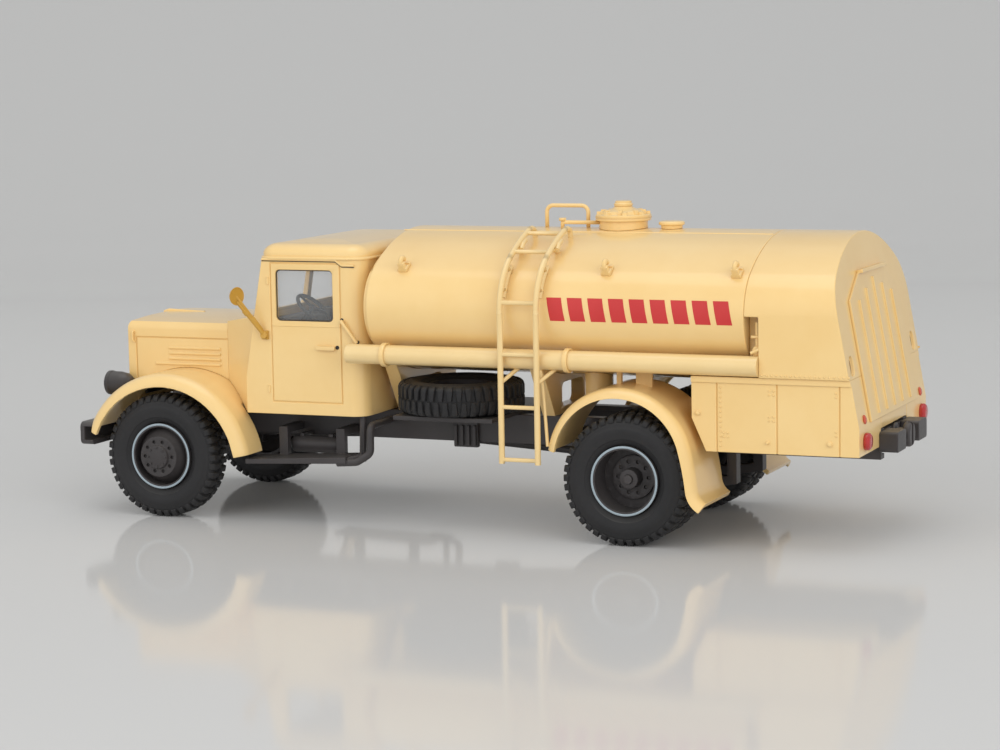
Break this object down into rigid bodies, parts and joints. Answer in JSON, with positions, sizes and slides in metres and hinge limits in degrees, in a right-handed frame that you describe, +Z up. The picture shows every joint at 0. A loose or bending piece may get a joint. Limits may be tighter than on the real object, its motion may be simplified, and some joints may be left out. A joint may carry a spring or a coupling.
{
  "type": "scale model tanker truck",
  "caption": "Scale model of a bonneted fuel-service tanker truck with an oval tank, a side ladder, hose tubes, a rear pump cabinet and free-rolling lugged wheels.",
  "frame": {"origin": "on the ground under the middle of the overall length and width", "axes": "+X forward along the truck, +Y to its left, +Z up"},
  "size_m": [0.1742, 0.0604, 0.066],
  "materials": {
    "cream_paint": "semi-gloss cream paint",
    "chassis_black": "satin black moulded plastic",
    "tyre": "matt rubber",
    "wheel_paint": "satin black paint with a silver rim edge",
    "clear_glass": "clear moulded glazing",
    "lamp_glass": "clear lens",
    "red_lens": "gloss red",
    "orange_lens": "gloss orange red",
    "mirror_ochre": "satin ochre paint",
    "tube_cream": "semi-gloss pale cream paint",
    "seat_brown": "matt dark brown",
    "cab_dark": "matt dark grey"
  },
  "bodies": {
    "truck": {"frame_rails": "chassis_black", "frame_crossmembers": "chassis_black", "front_bumper": "chassis_black", "rear_buffers": "chassis_black", "tow_hook": "chassis_black", "front_axle": "chassis_black", "front_springs": "chassis_black", "rear_axle": "chassis_black", "rear_springs": "chassis_black", "engine_block": "chassis_black", "propeller_shaft": "chassis_black", "air_tank": "chassis_black", "cab_body": "cream_paint", "cab_roof": "cream_paint", "cab_glass": "clear_glass", "cab_floor": "cab_dark", "bench_seat": "seat_brown", "dashboard": "cab_dark", "steering_wheel": "cab_dark", "hood": "cream_paint", "radiator_grille": "cream_paint", "front_fender_left": "cream_paint", "front_fender_right": "cream_paint", "headlights": "chassis_black", "headlight_lenses": "lamp_glass", "cab_steps": "chassis_black", "mirrors": "mirror_ochre", "cab_handles": "cream_paint", "tank": "cream_paint", "tank_saddles": "cream_paint", "tank_lugs": "cream_paint", "tank_sump": "cream_paint", "manhole_neck": "cream_paint", "manhole_lid": "cream_paint", "filler_cap": "cream_paint", "breather_pipe": "cream_paint", "hoop_rail": "cream_paint", "hose_tubes": "tube_cream", "tube_brackets": "cream_paint", "ladder": "cream_paint", "rear_cabinet": "cream_paint", "rear_shutter": "cream_paint", "side_boxes": "cream_paint", "rear_fender_left": "cream_paint", "rear_fender_right": "cream_paint", "tail_lights": "red_lens", "reflectors": "orange_lens", "drain_valve": "cream_paint", "spare_carrier": "chassis_black", "spare_tyre": "tyre", "spare_rim": "wheel_paint"},
    "front_left_wheel": {"front_left_tyre": "tyre", "front_left_rim": "wheel_paint"},
    "front_right_wheel": {"front_right_tyre": "tyre", "front_right_rim": "wheel_paint"},
    "rear_left_wheels": {"rear_left_tyres": "tyre", "rear_left_rims": "wheel_paint"},
    "rear_right_wheels": {"rear_right_tyres": "tyre", "rear_right_rims": "wheel_paint"}
  },
  "joints": [
    {"name": "front_left_roll", "type": "hinge", "parent": "truck", "child": "front_left_wheel", "pos_m": [0.0681, 0.0232, 0.013], "axis": [0, 1, 0], "continuous": true},
    {"name": "front_right_roll", "type": "hinge", "parent": "truck", "child": "front_right_wheel", "pos_m": [0.0681, -0.0232, 0.013], "axis": [0, 1, 0], "continuous": true},
    {"name": "rear_left_roll", "type": "hinge", "parent": "truck", "child": "rear_left_wheels", "pos_m": [-0.0369, 0.0218, 0.013], "axis": [0, 1, 0], "continuous": true},
    {"name": "rear_right_roll", "type": "hinge", "parent": "truck", "child": "rear_right_wheels", "pos_m": [-0.0369, -0.0218, 0.013], "axis": [0, 1, 0], "continuous": true}
  ]
}
